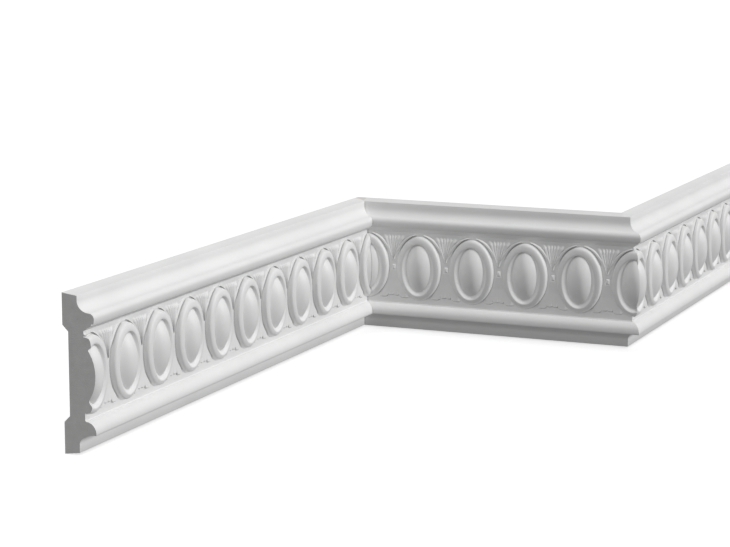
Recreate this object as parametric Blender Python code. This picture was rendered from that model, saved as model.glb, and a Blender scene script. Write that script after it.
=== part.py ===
"""Egg-and-leaf wall moulding: three lengths mitred round an inside and an outside corner.

Run it with blender --background --python part.py, or from Blender's text editor.
Each length is drawn flat first, with X along the run, -Y out of the wall and Z up, and is then
turned and placed. A profile point is (height, depth), where depth is measured out from the wall.
"""

import math

import bmesh
import bpy

MM = 0.001

# The run, measured along the wall
LEFT_RUN = 536.0 * MM
MIDDLE_RUN = 255.0 * MM
RIGHT_RUN = 400.0 * MM
MITRE_GAP = 0.3 * MM

# The profile: plain bands
HEIGHT = 120.0 * MM
FILLET_DEPTH = 12.4 * MM
BOTTOM_ARRIS_HEIGHT = 1.8 * MM
TOP_ARRIS_DROP = 1.8 * MM
GROUND_DEPTH = 17.4 * MM

# The profile: moulding below the frieze
LOWER_FILLET_TOP = 8.0 * MM
LOWER_COVE_RISE = 7.8 * MM
LOWER_NOSE_DEPTH = 26.5 * MM
LOWER_DRIP_DEPTH = 0.9 * MM
LOWER_DRIP_RISE = 1.3 * MM
LOWER_NOSE_RADIUS = 8.5 * MM
LOWER_STEP = 1.0 * MM

# The profile: moulding above the frieze, measured down from the top
UPPER_FILLET_DROP = 5.4 * MM
UPPER_COVE_DROP = 8.7 * MM
UPPER_NOSE_DEPTH = 26.3 * MM
UPPER_NOSE_RADIUS = 4.3 * MM
UPPER_FASCIA_DROP = 3.3 * MM
UPPER_FASCIA_BATTER = 0.4 * MM
UPPER_SOFFIT_DROP = 5.7 * MM

# The recess in the back, for adhesive
RECESS_DEPTH = 4.7 * MM
RECESS_CHAMFER = 4.7 * MM
RECESS_BOTTOM_BAND = 24.0 * MM
RECESS_TOP_BAND = 24.0 * MM

# The frieze: rimmed oval dishes, each filled by an egg's dome. The heights of all the carving are
# measured on a frieze of CARVED_HEIGHT, and are stretched to the frieze that the profile leaves.
CARVED_HEIGHT = 66.0 * MM
PITCH = 51.3 * MM
OVAL_GAP = 9.5 * MM
OVAL_MARGIN_BELOW = 3.8 * MM
OVAL_MARGIN_ABOVE = 3.1 * MM
RIM_HEIGHT = 6.0 * MM
RIM_SHOULDER_DROP = 1.0 * MM
RIM_WALL_SIDE = 1.0 * MM
RIM_WALL_ENDS = 1.6 * MM
RIM_WIDTH_SIDE = 5.7 * MM
RIM_WIDTH_ABOVE = 6.8 * MM
RIM_WIDTH_BELOW = 4.5 * MM
DISH_DEPTH = 1.85 * MM
DISH_SLOPE_SIDE = 3.4 * MM
DISH_SLOPE_ABOVE = 1.0 * MM
DISH_SLOPE_BELOW = 3.3 * MM
DOME_RISE = 6.6 * MM
DOME_FULLNESS = 2.7
RELIEF_SINK = 0.8 * MM

# The leaf fan and its bead, between the ovals
FAN_TOP_MARGIN = 4.5 * MM
FAN_LENGTH = 20.5 * MM
FAN_HALF_WIDTH = 12.5 * MM
FAN_HEIGHT = 2.3 * MM
FAN_FURROW = 1.0 * MM
FAN_WAIST = 0.46
BEAD_DROP = 5.0 * MM
BEAD_LENGTH = 5.5 * MM
BEAD_WIDTH = 4.5 * MM
BEAD_HEIGHT = 2.0 * MM

# The low scalloped skirt, between the ovals' feet
SKIRT_RISE = 5.2 * MM
SKIRT_SCALLOP = 2.2 * MM
SKIRT_LENGTH = 12.0 * MM
SKIRT_HALF_WIDTH = 14.0 * MM
SKIRT_HEIGHT = 1.1 * MM

# Where the first oval of each length is centred, measured from its left end at the wall
LEFT_FIRST_OVAL = 6.3 * MM
MIDDLE_FIRST_OVAL = 18.4 * MM
RIGHT_FIRST_OVAL = -13.5 * MM

# How finely round shapes are divided
OVAL_SIDES = 16
DOME_SHARES = (0.75, 0.4)
ARC_STEPS = 7
LEAVES_PER_SIDE = 4
CUTTER_MARGIN = 8.0 * MM
SMOOTH_BELOW_ANGLE = 35.0

FRIEZE_BOTTOM = LOWER_FILLET_TOP + LOWER_COVE_RISE + LOWER_DRIP_RISE + LOWER_NOSE_RADIUS + LOWER_STEP
FRIEZE_TOP = HEIGHT - (
    UPPER_FILLET_DROP + UPPER_COVE_DROP + UPPER_NOSE_RADIUS + UPPER_FASCIA_DROP + UPPER_SOFFIT_DROP
)
DISH_FLOOR_HEIGHT = RIM_HEIGHT - DISH_DEPTH
DEEPEST = max(LOWER_NOSE_DEPTH, UPPER_NOSE_DEPTH, GROUND_DEPTH + DISH_FLOOR_HEIGHT + DOME_RISE)


def clear_scene():
    for old in list(bpy.data.objects):
        bpy.data.objects.remove(old, do_unlink=True)


def arc(centre, radii, start, end, steps=ARC_STEPS):
    """Points (height, depth) on an ellipse, from angle start to end; 0 points out of the wall, 90 up."""
    points = []
    for step in range(steps + 1):
        angle = math.radians(start + (end - start) * step / steps)
        height = centre[0] + radii[0] * math.sin(angle)
        depth = centre[1] + radii[1] * math.cos(angle)
        points.append((height, depth))
    return points


def front_profile():
    """The face of the moulding from the back's lower edge, round the front, to the back's upper edge."""
    cove_width = LOWER_NOSE_DEPTH - LOWER_DRIP_DEPTH - FILLET_DEPTH
    lower_cove = arc(
        (LOWER_FILLET_TOP, LOWER_NOSE_DEPTH - LOWER_DRIP_DEPTH), (LOWER_COVE_RISE, cove_width), 180, 90
    )
    nose_bottom = LOWER_FILLET_TOP + LOWER_COVE_RISE + LOWER_DRIP_RISE
    lower_nose = arc(
        (nose_bottom, LOWER_NOSE_DEPTH - LOWER_NOSE_RADIUS), (LOWER_NOSE_RADIUS, LOWER_NOSE_RADIUS), 0, 90
    )
    soffit_edge = FRIEZE_TOP + UPPER_SOFFIT_DROP
    nose_start = soffit_edge + UPPER_FASCIA_DROP
    nose_centre_depth = UPPER_NOSE_DEPTH - UPPER_NOSE_RADIUS
    upper_nose = arc((nose_start, nose_centre_depth), (UPPER_NOSE_RADIUS, UPPER_NOSE_RADIUS), 0, 90)
    upper_cove = arc(
        (HEIGHT - UPPER_FILLET_DROP, nose_centre_depth),
        (UPPER_COVE_DROP, nose_centre_depth - FILLET_DEPTH),
        270,
        180,
    )
    return (
        [(0.0, 0.0), (BOTTOM_ARRIS_HEIGHT, FILLET_DEPTH)]
        + lower_cove
        + lower_nose
        + [(FRIEZE_BOTTOM, GROUND_DEPTH), (FRIEZE_TOP, GROUND_DEPTH)]
        + [(soffit_edge, UPPER_NOSE_DEPTH - UPPER_FASCIA_BATTER)]
        + upper_nose
        + upper_cove[1:]
        + [(HEIGHT - TOP_ARRIS_DROP, FILLET_DEPTH), (HEIGHT, 0.0)]
    )


def back_profile():
    """The back, from the upper edge down to the lower one, with its shallow chamfered recess."""
    top = HEIGHT - RECESS_TOP_BAND
    return [
        (top, 0.0),
        (top - RECESS_CHAMFER, RECESS_DEPTH),
        (RECESS_BOTTOM_BAND + RECESS_CHAMFER, RECESS_DEPTH),
        (RECESS_BOTTOM_BAND, 0.0),
    ]


def new_object(name, bm):
    mesh = bpy.data.meshes.new(name)
    bmesh.ops.recalc_face_normals(bm, faces=bm.faces)
    bm.to_mesh(mesh)
    bm.free()
    mesh.shade_smooth()
    mesh.set_sharp_from_angle(angle=math.radians(SMOOTH_BELOW_ANGLE))
    made = bpy.data.objects.new(name, mesh)
    bpy.context.scene.collection.objects.link(made)
    return made


def hide_helper(helper):
    helper.hide_render = True
    helper.display_type = "WIRE"


def prism(name, rings):
    """A closed solid between two rings of points that have the same number of corners."""
    bm = bmesh.new()
    first, last = [[bm.verts.new(point) for point in ring] for ring in rings]
    count = len(first)
    for i in range(count):
        bm.faces.new((first[i], first[(i + 1) % count], last[(i + 1) % count], last[i]))
    bm.faces.new(first)
    bm.faces.new(list(reversed(last)))
    return new_object(name, bm)


def plain_length(name, start, end):
    """The moulding without its carving, extruded from start to end along the run."""
    outline = front_profile() + back_profile()
    rings = [[(along, -depth, height) for height, depth in outline] for along in (start, end)]
    return prism(name, rings)


def envelope(name, left, left_lean, right, right_lean):
    """The block that trims a length: each end stands at left or right, plus its lean times the depth."""
    near = -CUTTER_MARGIN
    far = DEEPEST + CUTTER_MARGIN
    plan = [
        (left + left_lean * near, -near),
        (right + right_lean * near, -near),
        (right + right_lean * far, -far),
        (left + left_lean * far, -far),
    ]
    heights = (-CUTTER_MARGIN, HEIGHT + CUTTER_MARGIN)
    return prism(name, [[(x, y, z) for x, y in plan] for z in heights])


def ring_at(bm, centre, half_width, span, height):
    """One oval ring of an egg, at a height above the frieze's ground."""
    bottom, top = span
    ring = []
    for i in range(OVAL_SIDES):
        angle = 2 * math.pi * i / OVAL_SIDES
        x = centre + half_width * math.cos(angle)
        z = (bottom + top) / 2 + (top - bottom) / 2 * math.sin(angle)
        ring.append(bm.verts.new((x, -GROUND_DEPTH - height, z)))
    return ring


def add_egg(bm, centre):
    """A rimmed oval dish with the egg's dome swelling out of it."""
    foot = (PITCH - OVAL_GAP) / 2
    shoulder = foot - RIM_WALL_SIDE
    crest = foot - RIM_WIDTH_SIDE
    dish = crest - DISH_SLOPE_SIDE
    bottom = OVAL_MARGIN_BELOW
    top = CARVED_HEIGHT - OVAL_MARGIN_ABOVE
    shoulder_span = (bottom + RIM_WALL_ENDS, top - RIM_WALL_ENDS)
    crest_span = (bottom + RIM_WIDTH_BELOW, top - RIM_WIDTH_ABOVE)
    dish_span = (crest_span[0] + DISH_SLOPE_BELOW, crest_span[1] - DISH_SLOPE_ABOVE)
    middle = sum(dish_span) / 2
    reach = dish_span[1] - middle
    rings = [
        ring_at(bm, centre, foot, (bottom, top), -RELIEF_SINK),
        ring_at(bm, centre, shoulder, shoulder_span, RIM_HEIGHT - RIM_SHOULDER_DROP),
        ring_at(bm, centre, crest, crest_span, RIM_HEIGHT),
        ring_at(bm, centre, dish, dish_span, DISH_FLOOR_HEIGHT),
    ]
    for share in DOME_SHARES:
        span = (middle - share * reach, middle + share * reach)
        height = DISH_FLOOR_HEIGHT + DOME_RISE * (1 - share**DOME_FULLNESS)
        rings.append(ring_at(bm, centre, share * dish, span, height))
    for inner, outer in zip(rings[1:], rings[:-1]):
        for i in range(OVAL_SIDES):
            j = (i + 1) % OVAL_SIDES
            bm.faces.new((outer[i], outer[j], inner[j], inner[i]))
    apex = bm.verts.new((centre, -GROUND_DEPTH - DISH_FLOOR_HEIGHT - DOME_RISE, middle))
    for i in range(OVAL_SIDES):
        bm.faces.new((rings[-1][i], rings[-1][(i + 1) % OVAL_SIDES], apex))
    bm.faces.new(list(reversed(rings[0])))


def add_grid(bm, rows):
    """A closed solid: a carved front made of rows of points, and a flat back sunk in the ground."""
    front = [[bm.verts.new((x, -GROUND_DEPTH - height, z)) for x, z, height in row] for row in rows]
    sunk = -GROUND_DEPTH + RELIEF_SINK
    back = [[bm.verts.new((x, sunk, z)) for x, z, height in row] for row in rows]
    columns = len(rows[0])
    for r in range(len(rows) - 1):
        for c in range(columns - 1):
            bm.faces.new((front[r][c], front[r][c + 1], front[r + 1][c + 1], front[r + 1][c]))
            bm.faces.new((back[r][c], back[r + 1][c], back[r + 1][c + 1], back[r][c + 1]))
        for c in (0, columns - 1):
            bm.faces.new((front[r][c], back[r][c], back[r + 1][c], front[r + 1][c]))
    for r in (0, len(rows) - 1):
        for c in range(columns - 1):
            bm.faces.new((front[r][c], front[r][c + 1], back[r][c + 1], back[r][c]))


def fan_row(centre, share):
    """Points across the fan, on its ridges and furrows. Share is 0 at its point and 1 at its top."""
    top = CARVED_HEIGHT - FAN_TOP_MARGIN
    columns = 4 * LEAVES_PER_SIDE + 1
    width = FAN_HALF_WIDTH * (1 if share == 1 else FAN_WAIST)
    row = []
    for c in range(columns):
        side = 2 * c / (columns - 1) - 1
        furrow = c % 2 == 0
        x = centre + math.copysign(width * abs(side) ** 1.2, side)
        z = top - FAN_LENGTH * (1 - share) - (FAN_FURROW if furrow and share == 1 else 0)
        row.append((x, z, FAN_HEIGHT - (FAN_FURROW if furrow else 0)))
    return row


def add_fan(bm, centre):
    """The fan of narrow ridged leaves that hangs by its spread tips between two ovals, point down."""
    tip = CARVED_HEIGHT - FAN_TOP_MARGIN - FAN_LENGTH
    layers = []
    for sunk in (False, True):
        rows = []
        for share in (1.0, 0.55):
            row = [
                bm.verts.new((x, -GROUND_DEPTH + RELIEF_SINK if sunk else -GROUND_DEPTH - height, z))
                for x, z, height in fan_row(centre, share)
            ]
            rows.append(row)
        point_depth = -GROUND_DEPTH + (RELIEF_SINK if sunk else -FAN_HEIGHT)
        point = bm.verts.new((centre, point_depth, tip))
        layers.append((rows, point))
    for rows, point in layers:
        for c in range(len(rows[0]) - 1):
            bm.faces.new((rows[0][c], rows[0][c + 1], rows[1][c + 1], rows[1][c]))
            bm.faces.new((rows[1][c], rows[1][c + 1], point))
    (front, front_point), (back, back_point) = layers
    for c in range(len(front[0]) - 1):
        bm.faces.new((front[0][c], front[0][c + 1], back[0][c + 1], back[0][c]))
    for side in (0, -1):
        bm.faces.new((front[0][side], back[0][side], back[1][side], front[1][side]))
        bm.faces.new((front[1][side], back[1][side], back_point, front_point))


def add_bead(bm, centre):
    """The small bead under the fan's point."""
    top = CARVED_HEIGHT - FAN_TOP_MARGIN - FAN_LENGTH - BEAD_DROP
    rows = []
    for share, height in ((0.0, 0.6), (0.5, 1.0), (1.0, 0.6)):
        across = ((-0.5, 0.5), (0.0, 1.0), (0.5, 0.5))
        z = top - BEAD_LENGTH * share
        rows.append([(centre + BEAD_WIDTH * x, z, BEAD_HEIGHT * height * y) for x, y in across])
    add_grid(bm, rows)


def add_skirt(bm, centre):
    """The low three-lobed skirt that closes the foot of the ground between two ovals."""
    bottom = SKIRT_RISE
    lower = []
    upper = []
    half = ((1.0, 0.0), (0.7, 0.25), (0.35, 0.9))
    for side, lift in [(-x, z) for x, z in half] + [(0.0, 0.75)] + list(reversed(half)):
        lower.append((centre + SKIRT_HALF_WIDTH * side, bottom + SKIRT_SCALLOP * lift, SKIRT_HEIGHT))
        upper.append((centre + 0.42 * SKIRT_HALF_WIDTH * side, bottom + SKIRT_LENGTH, -RELIEF_SINK / 2))
    add_grid(bm, [lower, upper])


def carving(name, add_shape, half_width, first, start, end):
    """Repeats one carved shape at the frieze's pitch, wherever it stands on the ground from start to end."""
    bm = bmesh.new()
    before = math.floor((first + half_width - start) / PITCH)
    centre = first - before * PITCH
    while centre - half_width < end:
        add_shape(bm, centre)
        centre += PITCH
    stretch = (FRIEZE_TOP - FRIEZE_BOTTOM) / CARVED_HEIGHT
    for vert in bm.verts:
        vert.co.z = FRIEZE_BOTTOM + vert.co.z * stretch
    made = new_object(name, bm)
    hide_helper(made)
    return made


def boolean(target, helper, operation):
    modifier = target.modifiers.new(helper.name, "BOOLEAN")
    modifier.operation = operation
    modifier.solver = "EXACT"
    modifier.object = helper


def moulding_length(name, ends, leans, first_oval):
    """One carved length. Ends are where it meets the wall corners, leans how its mitres run with depth."""
    shift = MITRE_GAP / math.sqrt(2)
    left = ends[0] + (shift if leans[0] else 0)
    right = ends[1] - (shift if leans[1] else 0)
    reach = DEEPEST + PITCH
    length = plain_length(name, left - reach, right + reach)
    between = first_oval + PITCH / 2
    parts = [
        (add_egg, "eggs", (PITCH - OVAL_GAP) / 2, first_oval),
        (add_fan, "fans", FAN_HALF_WIDTH, between),
        (add_bead, "beads", BEAD_WIDTH / 2, between),
        (add_skirt, "skirts", SKIRT_HALF_WIDTH, between),
    ]
    ground_start = left + leans[0] * GROUND_DEPTH
    ground_end = right + leans[1] * GROUND_DEPTH
    helpers = []
    for add_shape, label, half_width, first in parts:
        shape = carving(f"{name}_{label}", add_shape, half_width, first, ground_start, ground_end)
        boolean(length, shape, "UNION")
        helpers.append(shape)
    trim = envelope(f"{name}_trim", left, leans[0], right, leans[1])
    hide_helper(trim)
    boolean(length, trim, "INTERSECT")
    helpers.append(trim)
    for helper in helpers:
        helper.parent = length
    return length


def primed_white(name):
    """Factory primer: matt white, a little warm."""
    material = bpy.data.materials.new(name)
    material.use_nodes = True
    shader = material.node_tree.nodes["Principled BSDF"]
    shader.inputs["Base Color"].default_value = (0.80, 0.80, 0.79, 1.0)
    shader.inputs["Roughness"].default_value = 0.55
    shader.inputs["Metallic"].default_value = 0.0
    return material


def build():
    clear_scene()
    root = bpy.data.objects.new("wall_moulding", None)
    bpy.context.scene.collection.objects.link(root)
    root.location = (-(MIDDLE_RUN + DEEPEST) / 2, (LEFT_RUN - RIGHT_RUN) / 2, 0)

    left = moulding_length("left_length", (0, LEFT_RUN), (0, -1), LEFT_FIRST_OVAL)
    left.location = (0, -LEFT_RUN, 0)
    left.rotation_euler.z = math.radians(90)

    middle = moulding_length("middle_length", (0, MIDDLE_RUN), (1, 1), MIDDLE_FIRST_OVAL)

    right = moulding_length("right_length", (0, RIGHT_RUN), (-1, 0), RIGHT_FIRST_OVAL)
    right.location = (MIDDLE_RUN, 0, 0)
    right.rotation_euler.z = math.radians(90)

    for length in (left, middle, right):
        length.parent = root
        length.data.materials.append(primed_white(f"{length.name}_primer"))


build()
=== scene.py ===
"""The wall moulding's looks: its fine carving, primer, cut foam, floor, light and camera.

Sizes are in millimetres until a length's mesh is finished, which scales it to metres. The carving is
worked out on half a repeat of the frieze, from the middle of an oval (across = 0) to the middle of the
next leaf fan (across = PITCH / 2), and is mirrored and repeated along each length.
"""

import math

import bmesh
import bpy
import numpy as np
from mathutils import Matrix, Vector
from mathutils.geometry import delaunay_2d_cdt


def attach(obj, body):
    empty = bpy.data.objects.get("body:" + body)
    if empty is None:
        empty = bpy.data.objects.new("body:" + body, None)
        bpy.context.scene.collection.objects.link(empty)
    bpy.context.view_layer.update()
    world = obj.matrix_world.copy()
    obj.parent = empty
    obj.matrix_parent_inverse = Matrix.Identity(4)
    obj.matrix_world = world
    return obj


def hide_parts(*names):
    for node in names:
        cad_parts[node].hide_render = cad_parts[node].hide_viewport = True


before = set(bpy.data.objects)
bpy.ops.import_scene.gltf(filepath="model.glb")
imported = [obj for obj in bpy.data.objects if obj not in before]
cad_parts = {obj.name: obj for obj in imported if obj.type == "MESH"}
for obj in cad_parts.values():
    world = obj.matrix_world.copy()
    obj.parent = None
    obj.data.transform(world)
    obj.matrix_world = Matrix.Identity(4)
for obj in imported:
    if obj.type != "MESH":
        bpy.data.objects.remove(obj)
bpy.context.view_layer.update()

# The camera, as the photograph is taken: metres, degrees and the lens's millimetres
CAMERA_LOCATION = (0.70775, -1.88754, 0.42047)
CAMERA_YAW = 23.291
CAMERA_PITCH = 9.924
CAMERA_LENS = 114.01

# The runs, measured along the wall, and where the first oval of each stands from its left end
LEFT_RUN = 536.0
MIDDLE_RUN = 255.0
RIGHT_RUN = 400.0
LEFT_FIRST_OVAL = 6.3
MIDDLE_FIRST_OVAL = 18.4
RIGHT_FIRST_OVAL = -13.5
DEEPEST = 28.15
JOINT_GAP = 0.06
SQUARE, LEANS_IN, LEANS_OUT = 0, -1, 1

# The section
HEIGHT = 120.0
GROUND = 17.4
FRIEZE_BOTTOM = 26.6
FRIEZE_TOP = 92.6
RECESS_DEPTH = 4.7

# The plain part of the section, in points (height, depth out of the wall); a nose or cove is a quarter
# round, as its centre, its radii, the angles it runs between and its number of steps
UPPER_QUIRK = (
    (FRIEZE_TOP, GROUND),
    (96.7, 23.6),
    (98.3, 24.1),
    (98.1, 25.5),
    (98.2, 25.75),
    (98.45, 25.92),
    (101.6, 26.3),
)
UPPER_NOSE = ((101.6, 22.0), (4.3, 4.3), 8, 90, 12)
UPPER_COVE = ((114.6, 22.0), (8.7, 9.6), 270, 180, 16)
TOP_FILLET = ((117.8, 12.4), (118.2, 12.1), (119.7, 0.5), (119.9, 0.1), (119.9, 0.0))
BACK_RECESS = ((96.0, 0.0), (91.3, RECESS_DEPTH), (28.7, RECESS_DEPTH), (24.0, 0.0))
BOTTOM_FILLET = ((0.1, 0.0), (0.1, 0.3), (1.7, 12.1), (2.1, 12.4), (8.0, 12.4))
LOWER_COVE = ((8.0, 25.6), (7.8, 13.2), 180, 90, 16)
LOWER_QUIRK = ((15.85, 26.15), (16.15, 26.42), (17.1, 26.5))
LOWER_NOSE = ((17.1, 18.0), (8.5, 8.5), 0, 90, 18)
LOWER_EDGE = ((26.4, 17.6), (FRIEZE_BOTTOM, GROUND))

# The frieze's repeat
PITCH = 51.3
FAN_AXIS = PITCH / 2

# The oval: half width and ends at its foot; then each line round its rim, as how far it lies inside the
# foot at the side, below and above, and how high it stands
OVAL_HALF = 20.9
OVAL_BOTTOM = 30.4
OVAL_TOP = 89.4
RIM_LINES = (
    (0.00, 0.0, 0.0, 0.00),
    (0.08, 0.1, 0.1, 1.50),
    (0.18, 0.4, 0.4, 3.10),
    (0.35, 0.8, 0.8, 4.15),
    (0.75, 1.4, 1.5, 4.80),
    (1.60, 2.2, 2.5, 5.28),
    (2.90, 2.9, 3.8, 5.68),
    (4.20, 3.7, 5.3, 5.94),
    (5.10, 4.3, 6.4, 6.00),
    (5.55, 4.7, 6.8, 5.82),
    (6.30, 5.4, 7.1, 5.10),
    (7.20, 6.2, 7.4, 4.20),
    (8.00, 7.0, 7.6, 3.72),
    (9.30, 7.7, 7.8, 3.60),
)

# The egg that fills the dish inside the rim
DOME_PEAK = 10.75
DOME_FULLNESS = 2.5
DOME_SHARES = (0.975, 0.94, 0.88, 0.8, 0.7, 0.6, 0.5, 0.4, 0.3, 0.2, 0.1)
DOME_MIDDLE = (OVAL_BOTTOM + RIM_LINES[-1][1] + OVAL_TOP - RIM_LINES[-1][2]) / 2

# The fan: where each blade's ridges and furrows meet the top of the fan, and how high they stand
FAN_POINT = 66.8
FAN_TIPS = 86.4
FAN_LINES = ((0.0, 0.85), (1.2, 1.7), (2.45, 0.8), (3.8, 1.8), (5.4, 0.75), (7.3, 1.8), (9.2, 0.5))
FAN_SPREAD = 1.15
FAN_NECK = 0.07
FAN_SWELL_BELOW = 1.1
FAN_SWELL_LOST = 0.2
FAN_RIDGE_BEND = 0.65
FAN_NOTCH = 1.9
FAN_NOTCH_BEND = 2.2
FAN_TIP_SLOPE = 3.0
FAN_TIP_BEND = 0.8
WALL = 0.45

# The long outer leaf that hugs the oval: distance from the fan's axis, height, half width, thickness
LEAF_LINE = (
    (0.7, 68.8, 0.5, 0.8),
    (2.8, 72.8, 1.2, 1.5),
    (5.9, 78.0, 1.75, 1.8),
    (9.7, 83.0, 1.6, 1.8),
    (13.6, 86.5, 1.3, 1.6),
    (17.2, 88.7, 0.95, 1.35),
    (20.4, 90.0, 0.65, 1.0),
    (22.9, 90.6, 0.3, 0.6),
)
LEAF_STEPS = 7
LEAF_TRIM = 0.1
LEAF_SWELL = 1.15
LEAF_FULLNESS = 3.5
LEAF_CREASES = (0.75, 1.0)

# The small tongue under the fan's point, with a groove round its sides and foot
TONGUE_HALF = 1.5
TONGUE_TOP = 62.3
TONGUE_BOTTOM = 57.7
TONGUE_HEIGHT = 1.25
TONGUE_ROUND = 1.3
TONGUE_BEND = 0.6
TONGUE_GROOVE = 0.9
TONGUE_GROOVE_DEPTH = 0.35

# The low skirt between the ovals' feet: its lower edge in scallops, fading upwards and outwards, with a
# groove under the edge and a flute up from each cusp
SKIRT_CUSPS = (0.0, 5.5, 15.5)
SKIRT_FEET = (33.5, 31.7)
SKIRT_CUSP_RISE = (0.9, 1.6)
SKIRT_SCALLOP_BEND = 4
SKIRT_THICK = 1.5
SKIRT_TOP = 46.0
SKIRT_FADE_FROM = 32.0
SKIRT_SIDE_FADE = 3.5
SKIRT_GROOVE = 0.6
SKIRT_GROOVE_DEPTH = 0.5
FLUTE_HALF = 0.9
FLUTE_DEPTH = 0.45
FLUTE_LEAN = 0.55

# How finely the mesh is divided
EDGE_COLUMNS = 6
RING_STEPS = 40
AXIS_POINTS = 61
FAN_CREASE_POINTS = 42
SKIRT_POINTS = 80
ROW_RISE = 0.866
OVAL_LINE = 0.45
LINE_MARGIN = 0.1
FILL_MARGIN = 0.2
FILL_FROM_EGG_AXIS = 0.3
FILL_FROM_FAN_AXIS = 0.12
FILL_APART = 0.26

# Where the mesh outside the ovals is filled: low and high corner, as out from the fan's axis and height,
# and the points' pitch
FILLS = (
    ((0.2, 66.0), (25.0, 91.8), 0.5),  # the fan and the leaf
    ((0.15, 55.8), (3.4, 63.8), 0.42),  # the tongue
    ((0.2, 30.6), (16.0, 36.5), 0.6),  # the skirt's lower edge
    ((0.5, 36.5), (9.0, 47.0), 1.3),  # the skirt's flutes
    ((1.3, 27.8), (25.0, 91.5), 2.6),  # the ground
)

# The finished mesh: how its points are joined, what counts as the back, and which edges stay sharp
JOIN_DIGITS = 3
CUT_REACH = 1e-5
BACK_MARGIN = 0.05
BACK_EDGE = 0.3
SHARP_ANGLE = 38
FRONT, CUT_END, BACK = 0, 1, 2

# The light and the floor
WORLD_ABOVE = 0.42
WORLD_BELOW = 0.23
FLOOR_HALF = 14.0


def smooth_path(points, steps):
    """Points on a smooth curve through the given ones, with steps between each two."""
    points = np.array(points, float)
    padded = np.vstack([2 * points[0] - points[1], points, 2 * points[-1] - points[-2]])
    path = []
    for i in range(1, len(padded) - 2):
        a, b, c, d = padded[i - 1 : i + 3]
        for step in range(steps):
            t = step / steps
            bend = (2 * a - 5 * b + 4 * c - d) * t**2 + (3 * b - a - 3 * c + d) * t**3
            path.append(0.5 * (2 * b + (c - a) * t + bend))
    path.append(points[-1])
    return np.array(path)


LEAF_PATH = smooth_path(LEAF_LINE, LEAF_STEPS)


def ring_points(half, bottom, top):
    """Half an oval ring, from its foot round the side to its top."""
    points = []
    for step in range(RING_STEPS + 1):
        angle = math.pi * (step / RING_STEPS - 0.5)
        across = 0.0 if step in (0, RING_STEPS) else half * math.cos(angle)
        points.append((across, (bottom + top) / 2 + (top - bottom) / 2 * math.sin(angle)))
    return points


def oval_rings():
    """Every ring of the oval's rim, dish and dome, with its height."""
    rings = []
    for side, below, above, height in RIM_LINES:
        rings.append((ring_points(OVAL_HALF - side, OVAL_BOTTOM + below, OVAL_TOP - above), height))
    side, below, above, floor = RIM_LINES[-1]
    for share in DOME_SHARES:
        reach = share * (OVAL_TOP - above - OVAL_BOTTOM - below) / 2
        height = floor + (DOME_PEAK - floor) * (1 - share**DOME_FULLNESS)
        points = ring_points(share * (OVAL_HALF - side), DOME_MIDDLE - reach, DOME_MIDDLE + reach)
        rings.append((points, height))
    return rings


def fan_width(z):
    """How far the fan has spread at a height: the neck's share at its point, a whole one at its tips."""
    t = np.clip((z - FAN_POINT) / (FAN_TIPS - FAN_POINT), 0, None)
    return t**FAN_SPREAD + FAN_NECK


def ridged(q):
    """Height across the fan: rounded ridges with sharp furrows between."""
    height = np.zeros_like(q)
    for (q0, h0), (q1, h1) in zip(FAN_LINES[:-1], FAN_LINES[1:]):
        share = np.clip((q - q0) / (q1 - q0), 0, 1)
        eased = share**FAN_RIDGE_BEND if h1 > h0 else 1 - (1 - share) ** FAN_RIDGE_BEND
        height = np.where((q >= q0) & (q < q1), h0 + (h1 - h0) * eased, height)
    return height


def fan_end(q):
    """The height at which a blade ends: its tip is round, and the furrows beside it run in deeper."""
    ridges = [line[0] for line in FAN_LINES[1::2]]
    furrows = [line[0] for line in FAN_LINES[0::2]]
    end = np.full_like(q, FAN_TIPS)
    for i, ridge in enumerate(ridges):
        left, right = furrows[i], furrows[i + 1]
        away = np.where(q < ridge, (ridge - q) / (ridge - left), (q - ridge) / (right - ridge))
        inside = (q >= left) & (q < right + 1e-6)
        end = np.where(inside, FAN_TIPS - FAN_NOTCH * np.clip(away, 0, 1) ** FAN_NOTCH_BEND, end)
    return end


def fan_height(out, z):
    """The fan's blades, with steep sides and foot and a sloping head."""
    q = out / fan_width(z)
    width = FAN_LINES[-1][0]
    side = np.clip((width - q) * fan_width(z) / WALL + 1, 0, 1)
    foot = np.clip((z - FAN_POINT) / WALL + 1, 0, 1)
    head = np.clip((fan_end(np.minimum(q, width)) - z) / FAN_TIP_SLOPE + 1, 0, 1) ** FAN_TIP_BEND
    body = ridged(np.minimum(q, width - 1e-6))
    up = np.clip((z - FAN_POINT) / (FAN_TIPS - FAN_POINT), 0, 1)
    return body * (FAN_SWELL_BELOW - FAN_SWELL_LOST * up) * side * foot * head


def leaf_height(out, z):
    """The long leaf: a rounded strip along its middle line."""
    best = np.zeros_like(out)
    for (x0, z0, w0, h0), (x1, z1, w1, h1) in zip(LEAF_PATH[:-1], LEAF_PATH[1:]):
        length = math.hypot(x1 - x0, z1 - z0)
        along = np.clip(((out - x0) * (x1 - x0) + (z - z0) * (z1 - z0)) / length**2, 0, 1)
        away = np.hypot(out - x0 - along * (x1 - x0), z - z0 - along * (z1 - z0))
        half = w0 + along * (w1 - w0) - LEAF_TRIM
        tall = LEAF_SWELL * (h0 + along * (h1 - h0))
        share = np.clip(away / half, 0, 1)
        best = np.maximum(best, tall * (1 - share**LEAF_FULLNESS))
    return best


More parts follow.
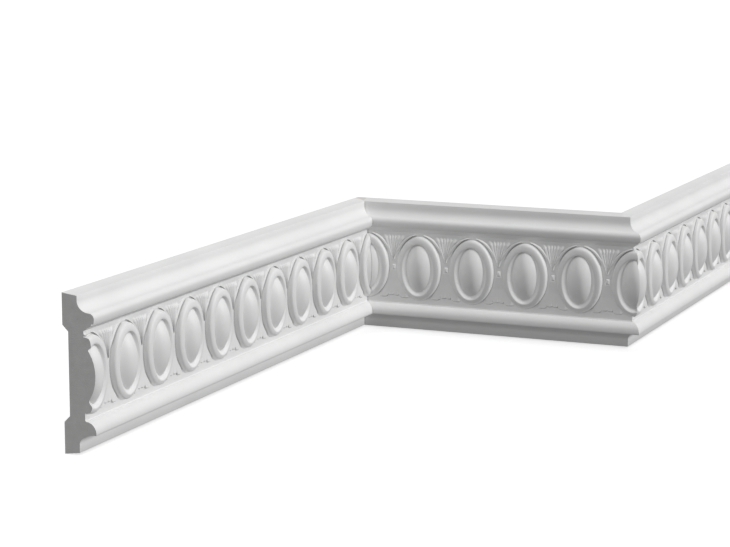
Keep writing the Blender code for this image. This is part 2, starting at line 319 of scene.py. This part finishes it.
def tongue_height(out, z):
    """The tongue, rounded to its edges, and the groove beside and below it."""
    from_side = TONGUE_HALF - out
    from_ends = np.minimum(TONGUE_TOP - z, z - TONGUE_BOTTOM)
    inside = np.minimum(from_side, from_ends)
    raised = TONGUE_HEIGHT * np.clip(inside / TONGUE_ROUND, 0, 1) ** TONGUE_BEND
    beyond = np.maximum(-from_side, TONGUE_BOTTOM - z)
    groove = 1 - np.abs(2 * np.clip(beyond / TONGUE_GROOVE, 0, 1) - 1)
    groove = np.where(z < TONGUE_TOP, groove, 0)
    return raised - TONGUE_GROOVE_DEPTH * groove


def skirt_foot(out):
    """The lower edge of the skirt: scallops that hang between cusps."""
    foot = np.full_like(out, SKIRT_FEET[-1] + SKIRT_CUSP_RISE[-1])
    for i in range(len(SKIRT_FEET)):
        left, right = SKIRT_CUSPS[i], SKIRT_CUSPS[i + 1]
        away = np.abs(2 * (out - left) / (right - left) - 1)
        hang = SKIRT_FEET[i] + SKIRT_CUSP_RISE[i] * np.clip(away, 0, 1) ** SKIRT_SCALLOP_BEND
        foot = np.where((out >= left) & (out < right), hang, foot)
    return foot


def skirt_height(out, z):
    """The skirt above its edge, less its flutes and the groove under the edge."""
    foot = skirt_foot(out)
    wall = np.clip((z - foot) / WALL, 0, 1)
    fade = np.clip((SKIRT_TOP - z) / (SKIRT_TOP - SKIRT_FADE_FROM), 0, 1)
    outward = np.clip((SKIRT_CUSPS[-1] - out) / SKIRT_SIDE_FADE, 0, 1)
    flute = np.zeros_like(out)
    for cusp in SKIRT_CUSPS[:-1]:
        line = cusp * (1 - FLUTE_LEAN + FLUTE_LEAN * fade)
        flute = np.maximum(flute, np.clip(1 - np.abs(out - line) / FLUTE_HALF, 0, 1))
    below = np.clip(1 - np.abs(2 * (foot - z) / SKIRT_GROOVE - 1), 0, 1)
    raised = SKIRT_THICK * wall * fade * outward - FLUTE_DEPTH * flute * fade * wall
    return raised - SKIRT_GROOVE_DEPTH * below * outward


def carved_height(across, z):
    """Height above the frieze's ground of everything outside the ovals."""
    out = FAN_AXIS - across
    raised = np.maximum(fan_height(out, z), leaf_height(out, z))
    skirt = np.where(z < SKIRT_TOP, skirt_height(out, z), 0)
    return np.maximum(raised, 0) + tongue_height(out, z) + skirt


def outside_oval(points, margin):
    """Which points lie outside the oval's foot, widened by a margin."""
    half = OVAL_HALF + margin
    reach = (OVAL_TOP - OVAL_BOTTOM) / 2 + margin
    middle = (OVAL_TOP + OVAL_BOTTOM) / 2
    return (points[:, 0] / half) ** 2 + ((points[:, 1] - middle) / reach) ** 2 > 1


def lattice(low, high, pitch):
    """Points of a triangular lattice between two corners, given as out from the fan's axis and height."""
    rows = []
    z = low[1]
    while z < high[1]:
        shift = pitch / 2 if len(rows) % 2 else 0.0
        out = np.arange(low[0] + shift, high[0], pitch)
        rows.append(np.column_stack([FAN_AXIS - out, np.full_like(out, z)]))
        z += pitch * ROW_RISE
    return np.vstack(rows)


def crease_lines():
    """The lines that the mesh outside the ovals follows."""
    lines = []
    z = np.linspace(FAN_POINT, FAN_TIPS + FAN_TIP_SLOPE, FAN_CREASE_POINTS)
    for q, _ in FAN_LINES:
        end = fan_end(np.array([min(q, FAN_LINES[-1][0] - 1e-6)]))[0] + FAN_TIP_SLOPE
        keep = z[z < end]
        lines.append(np.column_stack([FAN_AXIS - q * fan_width(keep), keep]))
    step = np.gradient(LEAF_PATH[:, :2], axis=0)
    normal = np.column_stack([-step[:, 1], step[:, 0]]) / np.hypot(*step.T)[:, None]
    for side in (-1, 1):
        for share in LEAF_CREASES:
            line = LEAF_PATH[:, :2] + side * share * LEAF_PATH[:, 2:3] * normal
            line = line[line[:, 0] > 0.05]
            lines.append(np.column_stack([FAN_AXIS - line[:, 0], line[:, 1]]))
    for inset in (0.0, WALL, -TONGUE_GROOVE / 2, -TONGUE_GROOVE):
        half = TONGUE_HALF - inset
        foot = TONGUE_BOTTOM + inset
        top = TONGUE_TOP - max(inset, 0)
        corner = np.array([(0, foot), (half, foot), (half, top), (0, top)])
        if inset < 0:
            corner = corner[:3]
        lines.append(np.column_stack([FAN_AXIS - corner[:, 0], corner[:, 1]]))
    out = np.linspace(0, SKIRT_CUSPS[-1], SKIRT_POINTS)
    for lift in (-SKIRT_GROOVE, -SKIRT_GROOVE / 2, 0.0, WALL):
        lines.append(np.column_stack([FAN_AXIS - out, skirt_foot(out) + lift]))
    return lines


def half_repeat():
    """Points (across, height, depth) and triangles of half a repeat of the frieze."""
    points, depths, edges = [], [], []

    def add_line(line, heights):
        """A line that the mesh keeps. A height of None is worked out from the carving."""
        start = len(points)
        for (x, z), height in zip(line, heights):
            points.append((float(x), float(z)))
            depths.append(height)
        edges.extend((i, i + 1) for i in range(start, len(points) - 1))

    along = np.linspace(0, FAN_AXIS, EDGE_COLUMNS + 1)
    for z in (FRIEZE_BOTTOM, FRIEZE_TOP):
        add_line([(x, z) for x in along], [0.0] * len(along))
    axis = np.linspace(FRIEZE_BOTTOM, FRIEZE_TOP, AXIS_POINTS)
    add_line([(FAN_AXIS, z) for z in axis], [None] * len(axis))
    around = ring_points(OVAL_HALF + OVAL_LINE, OVAL_BOTTOM - OVAL_LINE, OVAL_TOP + OVAL_LINE)
    add_line(around, [None] * len(around))
    add_line([(0.0, FRIEZE_BOTTOM), around[0]], [0.0, 0.0])
    add_line([around[-1], (0.0, FRIEZE_TOP)], [None, 0.0])
    for ring, height in oval_rings():
        add_line(ring, [height] * len(ring))
    add_line([(0.0, DOME_MIDDLE)], [DOME_PEAK])
    for line in crease_lines():
        inside = outside_oval(line, OVAL_LINE + LINE_MARGIN)
        add_line(line[inside], [None] * int(inside.sum()))
    taken = np.array(points)
    for low, high, pitch in FILLS:
        fill = lattice(low, high, pitch)
        inside = outside_oval(fill, OVAL_LINE + FILL_MARGIN)
        inside &= (fill[:, 0] > FILL_FROM_EGG_AXIS) & (fill[:, 0] < FAN_AXIS - FILL_FROM_FAN_AXIS)
        fill = fill[inside]
        gap = np.sqrt(((fill[:, None, :] - taken[None, :, :]) ** 2).sum(-1)).min(1)
        fill = fill[gap > FILL_APART]
        taken = np.vstack([taken, fill])
        points.extend((float(x), float(z)) for x, z in fill)
        depths.extend([None] * len(fill))
    found = delaunay_2d_cdt([Vector(p) for p in points], edges, [], 0, 1e-5)
    flat = np.array([(v.x, v.y) for v in found[0]])
    height = carved_height(flat[:, 0], flat[:, 1])
    for i, sources in enumerate(found[3]):
        known = [depths[s] for s in sources if s < len(depths) and depths[s] is not None]
        if known:
            height[i] = known[0]
    return np.column_stack([flat, height]), np.array(found[2])


def whole_repeat():
    """Points and triangles of one repeat, from fan to fan, with its oval at across = 0."""
    points, faces = half_repeat()
    both = np.vstack([points, points * (-1, 1, 1)])
    return both, np.vstack([faces, faces[:, ::-1] + len(points)])


def arc(centre, radii, start, end, steps):
    """Points (height, depth) on an ellipse; 0 degrees points out of the wall and 90 up."""
    points = []
    for step in range(steps + 1):
        angle = math.radians(start + (end - start) * step / steps)
        points.append((centre[0] + radii[0] * math.sin(angle), centre[1] + radii[1] * math.cos(angle)))
    return points


def plain_profile():
    """The profile (height, depth) from the frieze's top edge, over the top, down the back and up the front
    to the frieze's lower edge."""
    above = [*UPPER_QUIRK, *arc(*UPPER_NOSE), *arc(*UPPER_COVE)[1:], *TOP_FILLET]
    below = [*BOTTOM_FILLET, *arc(*LOWER_COVE)[1:], *LOWER_QUIRK, *arc(*LOWER_NOSE)[1:], *LOWER_EDGE]
    return [*above, *BACK_RECESS, *below]


def tiled_frieze(repeat, middles):
    """Points and triangles of the repeat, placed at each middle along the run."""
    repeat_points, repeat_faces = repeat
    points, faces = [], []
    for k, middle in enumerate(middles):
        placed = repeat_points + (middle, 0, 0)
        points.append(np.column_stack([placed[:, 0], -(GROUND + placed[:, 2]), placed[:, 1]]))
        faces.append(repeat_faces + k * len(placed))
    return np.vstack(points), np.vstack(faces)


def plain_strip(middles, start):
    """Points and quads of the plain part of the section, with a column at each of the frieze's edge points.
    The quads count their points from start."""
    columns = []
    for middle in middles:
        columns.extend(middle + FAN_AXIS * i / EDGE_COLUMNS for i in range(-EDGE_COLUMNS, EDGE_COLUMNS))
    columns.append(middles[-1] + FAN_AXIS)
    profile = plain_profile()
    rows = len(profile)
    quads = []
    for i in range(len(columns) - 1):
        for j in range(rows - 1):
            a = start + i * rows + j
            quads.append((a, a + 1, a + 1 + rows, a + rows))
    return np.array([(s, -depth, height) for s in columns for height, depth in profile]), quads


def cut_end(bm, where, normal):
    """Cuts away what lies beyond a plane and closes the cut with the sawn foam."""
    cut = bmesh.ops.bisect_plane(
        bm,
        geom=bm.verts[:] + bm.edges[:] + bm.faces[:],
        dist=CUT_REACH,
        plane_co=where,
        plane_no=normal,
        clear_outer=True,
    )
    rim = [e for e in cut["geom_cut"] if isinstance(e, bmesh.types.BMEdge)]
    capped = bmesh.ops.triangle_fill(bm, use_beauty=True, edges=rim, normal=normal)
    for face in capped["geom"]:
        if isinstance(face, bmesh.types.BMFace):
            face.material_index = CUT_END


def length_mesh(name, repeat, ends, leans, first_oval, materials):
    """One fine length in its own flat frame: X along the run, -Y out of the wall."""
    first = math.floor((ends[0] - DEEPEST - first_oval) / PITCH - 0.5)
    last = math.ceil((ends[1] + DEEPEST - first_oval) / PITCH + 0.5)
    middles = [first_oval + k * PITCH for k in range(first, last + 1)]
    frieze, triangles = tiled_frieze(repeat, middles)
    strip, quads = plain_strip(middles, len(frieze))
    everything = np.vstack([frieze, strip])
    keys = np.round(everything, JOIN_DIGITS)
    _, keep, joined = np.unique(keys, axis=0, return_index=True, return_inverse=True)
    joined = joined.reshape(-1)
    triangles = joined[triangles]
    sound = (
        (triangles[:, 0] != triangles[:, 1])
        & (triangles[:, 1] != triangles[:, 2])
        & (triangles[:, 0] != triangles[:, 2])
    )
    faces = triangles[sound].tolist() + [tuple(joined[list(q)]) for q in quads]
    mesh = bpy.data.meshes.new(name)
    mesh.from_pydata(everything[keep].tolist(), [], faces)
    bm = bmesh.new()
    bm.from_mesh(mesh)
    for end, lean, outward in ((ends[0], leans[0], -1), (ends[1], leans[1], 1)):
        normal = Vector((outward, lean * outward, 0)).normalized()
        cut_end(bm, Vector((end, 0, 0)) - normal * (JOINT_GAP / 2 if lean else 0), normal)
    bmesh.ops.recalc_face_normals(bm, faces=bm.faces)
    for face in bm.faces:
        centre = face.calc_center_median()
        behind = centre.y > -(RECESS_DEPTH + BACK_MARGIN)
        if face.material_index == FRONT and behind and BACK_EDGE < centre.z < HEIGHT - BACK_EDGE:
            face.material_index = BACK
        face.smooth = face.material_index != CUT_END
    bm.to_mesh(mesh)
    bm.free()
    for material in materials:
        mesh.materials.append(material)
    mesh.set_sharp_from_angle(angle=math.radians(SHARP_ANGLE))
    return mesh


def place(name, mesh, corner, turned):
    """Puts a flat length on its wall, in metres, and stands it for its CAD node."""
    root = Vector((-(MIDDLE_RUN + DEEPEST) / 2, (LEFT_RUN - RIGHT_RUN) / 2, 0))
    turn = Matrix.Rotation(math.radians(90 if turned else 0), 4, "Z")
    mesh.transform(Matrix.Scale(0.001, 4) @ Matrix.Translation(root + Vector(corner)) @ turn)
    piece = bpy.data.objects.new(f"fine_{name}", mesh)
    bpy.context.scene.collection.objects.link(piece)
    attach(piece, "root")
    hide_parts(name)
    return piece


def new_material(name):
    """(material, nodes, links, shader, object coordinates) of a new material."""
    material = bpy.data.materials.new(name)
    material.use_nodes = True
    nodes = material.node_tree.nodes
    where = nodes.new("ShaderNodeTexCoord").outputs["Object"]
    return material, nodes, material.node_tree.links, nodes["Principled BSDF"], where


def noise(nodes, links, where, scale, detail=2.0, roughness=0.5):
    """Cloudy noise; the scale is in clouds to the metre."""
    made = nodes.new("ShaderNodeTexNoise")
    made.inputs["Scale"].default_value = scale
    made.inputs["Detail"].default_value = detail
    made.inputs["Roughness"].default_value = roughness
    links.new(where, made.inputs["Vector"])
    return made.outputs["Fac"]


def ramp(nodes, links, value, low, high, dark, light):
    """A colour or a grey between two, as value goes from low to high."""
    made = nodes.new("ShaderNodeMapRange")
    made.inputs["From Min"].default_value = low
    made.inputs["From Max"].default_value = high
    links.new(value, made.inputs["Value"])
    if isinstance(dark, (int, float)):
        made.inputs["To Min"].default_value = dark
        made.inputs["To Max"].default_value = light
        return made.outputs["Result"]
    mix = nodes.new("ShaderNodeMix")
    mix.data_type = "RGBA"
    links.new(made.outputs["Result"], mix.inputs["Factor"])
    mix.inputs["A"].default_value = (*dark, 1)
    mix.inputs["B"].default_value = (*light, 1)
    return mix.outputs["Result"]


def bump(nodes, links, height, strength, distance, under=None):
    """A normal from a height, over another normal where one is given. The distance is in metres."""
    made = nodes.new("ShaderNodeBump")
    made.inputs["Strength"].default_value = strength
    made.inputs["Distance"].default_value = distance
    links.new(height, made.inputs["Height"])
    if under is not None:
        links.new(under, made.inputs["Normal"])
    return made.outputs["Normal"]


def painted_crease_shade(nodes, links, tone):
    """The tone with painted shade: darkened in narrow creases by an occlusion node, where shade falls."""
    crease = nodes.new("ShaderNodeAmbientOcclusion")
    crease.samples = 12
    crease.inputs["Distance"].default_value = 0.0022
    # painted shade: the colour falls to 0.55 of itself where the occlusion node finds the surface enclosed
    crease_shade_level = ramp(nodes, links, crease.outputs["AO"], 0.38, 0.82, (0.55, 0.55, 0.55), (1.0, 1.0, 1.0))
    shaded = nodes.new("ShaderNodeMix")
    shaded.data_type = "RGBA"
    shaded.blend_type = "MULTIPLY"
    shaded.inputs["Factor"].default_value = 1.0
    links.new(tone, shaded.inputs["A"])
    links.new(crease_shade_level, shaded.inputs["B"])
    return shaded.outputs["Result"]


def primer():
    """Matt factory primer: faintly uneven in tone and gloss, with a very fine orange peel, and painted
    shade darkening its creases.
    """
    material, nodes, links, shader, where = new_material("primed_face")
    cloud = noise(nodes, links, where, 22, 3.0)
    tone = ramp(nodes, links, cloud, 0.3, 0.7, (0.79, 0.79, 0.788), (0.82, 0.82, 0.817))
    # the base colour carries painted shade in the creases
    links.new(painted_crease_shade(nodes, links, tone), shader.inputs["Base Color"])
    links.new(ramp(nodes, links, cloud, 0.3, 0.7, 0.46, 0.58), shader.inputs["Roughness"])
    fine = bump(nodes, links, noise(nodes, links, where, 700), 0.10, 0.0003)
    broad = bump(nodes, links, noise(nodes, links, where, 90), 0.12, 0.0006, fine)
    links.new(broad, shader.inputs["Normal"])
    return material


def cut_foam():
    """The sawn end: bare rigid foam, greyer than the primer, with fine open cells."""
    material, nodes, links, shader, where = new_material("cut_foam")
    cells = nodes.new("ShaderNodeTexVoronoi")
    cells.inputs["Scale"].default_value = 1300
    links.new(where, cells.inputs["Vector"])
    cloud = noise(nodes, links, where, 160, 4.0)
    tone = ramp(nodes, links, cloud, 0.25, 0.75, (0.62, 0.62, 0.615), (0.69, 0.69, 0.685))
    links.new(tone, shader.inputs["Base Color"])
    shader.inputs["Roughness"].default_value = 0.85
    links.new(bump(nodes, links, cells.outputs["Distance"], 0.35, 0.0004), shader.inputs["Normal"])
    return material


def moulded_back():
    """The back: the foam's own skin, duller and a little uneven, without primer."""
    material, nodes, links, shader, where = new_material("moulded_back")
    cloud = noise(nodes, links, where, 35, 5.0, 0.6)
    tone = ramp(nodes, links, cloud, 0.25, 0.75, (0.66, 0.65, 0.62), (0.74, 0.73, 0.71))
    links.new(tone, shader.inputs["Base Color"])
    shader.inputs["Roughness"].default_value = 0.8
    uneven = bump(nodes, links, noise(nodes, links, where, 180, 5.0, 0.6), 0.3, 0.0008)
    links.new(uneven, shader.inputs["Normal"])
    return material


def add_camera():
    """The camera at the photograph's place, without shift or depth of field."""
    data = bpy.data.cameras.new("camera")
    data.lens = CAMERA_LENS
    data.clip_start = 0.05
    data.clip_end = 80
    data.dof.use_dof = False
    camera = bpy.data.objects.new("camera", data)
    camera.location = CAMERA_LOCATION
    camera.rotation_euler = (math.radians(90 - CAMERA_PITCH), 0, math.radians(CAMERA_YAW))
    bpy.context.scene.collection.objects.link(camera)
    bpy.context.scene.camera = camera


def add_sun(name, strength, towards, softness):
    """A distant light that shines from the given direction and, as in the photograph, casts no shadows."""
    data = bpy.data.lights.new(name, "SUN")
    data.energy = strength
    data.angle = math.radians(softness)
    data.use_shadow = False
    light = bpy.data.objects.new(name, data)
    light.rotation_euler = Vector(towards).to_track_quat("Z", "Y").to_euler()
    bpy.context.scene.collection.objects.link(light)


def add_world(above, below):
    """Soft surrounding light, stronger from above than from below."""
    world = bpy.data.worlds.new("studio")
    world.use_nodes = True
    nodes = world.node_tree.nodes
    links = world.node_tree.links
    split = nodes.new("ShaderNodeSeparateXYZ")
    links.new(nodes.new("ShaderNodeTexCoord").outputs["Generated"], split.inputs["Vector"])
    level = ramp(nodes, links, split.outputs["Z"], -0.25, 0.25, (below,) * 3, (above,) * 3)
    links.new(level, nodes["Background"].inputs["Color"])
    bpy.context.scene.world = world


def add_floor():
    """A wide pale floor that throws no light back on the moulding."""
    half = FLOOR_HALF
    corners = [(-half, -half, 0), (half, -half, 0), (half, half, 0), (-half, half, 0)]
    mesh = bpy.data.meshes.new("floor")
    mesh.from_pydata(corners, [], [(0, 1, 2, 3)])
    floor = bpy.data.objects.new("floor", mesh)
    material = bpy.data.materials.new("floor")
    material.use_nodes = True
    shader = material.node_tree.nodes["Principled BSDF"]
    shader.inputs["Base Color"].default_value = (0.98, 0.98, 0.98, 1)
    shader.inputs["Roughness"].default_value = 0.95
    shader.inputs["Emission Color"].default_value = (1, 1, 1, 1)
    shader.inputs["Emission Strength"].default_value = 0.22
    mesh.materials.append(material)
    floor.visible_diffuse = False
    floor.visible_glossy = False
    bpy.context.scene.collection.objects.link(floor)


# Each length: its run, how its two ends are cut, its first oval, its corner on the wall, and whether it
# is turned to run away from the viewer
LENGTHS = {
    "left": (LEFT_RUN, (SQUARE, LEANS_IN), LEFT_FIRST_OVAL, (0, -LEFT_RUN, 0), True),
    "middle": (MIDDLE_RUN, (LEANS_OUT, LEANS_OUT), MIDDLE_FIRST_OVAL, (0, 0, 0), False),
    "right": (RIGHT_RUN, (LEANS_IN, SQUARE), RIGHT_FIRST_OVAL, (MIDDLE_RUN, 0, 0), True),
}

one_repeat = whole_repeat()
finishes = [primer(), cut_foam(), moulded_back()]
for side, (run, leans, first_oval, corner, turned) in LENGTHS.items():
    fine = length_mesh(f"fine_{side}", one_repeat, (0, run), leans, first_oval, finishes)
    place(f"{side}_length", fine, corner, turned)

add_camera()
add_floor()
add_world(WORLD_ABOVE, WORLD_BELOW)
add_sun("key", 1.74, (0.83, 0.14, 0.50), 8)
add_sun("top", 0.6, (-0.05, -0.25, 0.97), 30)
bpy.context.scene.view_settings.view_transform = "Standard"
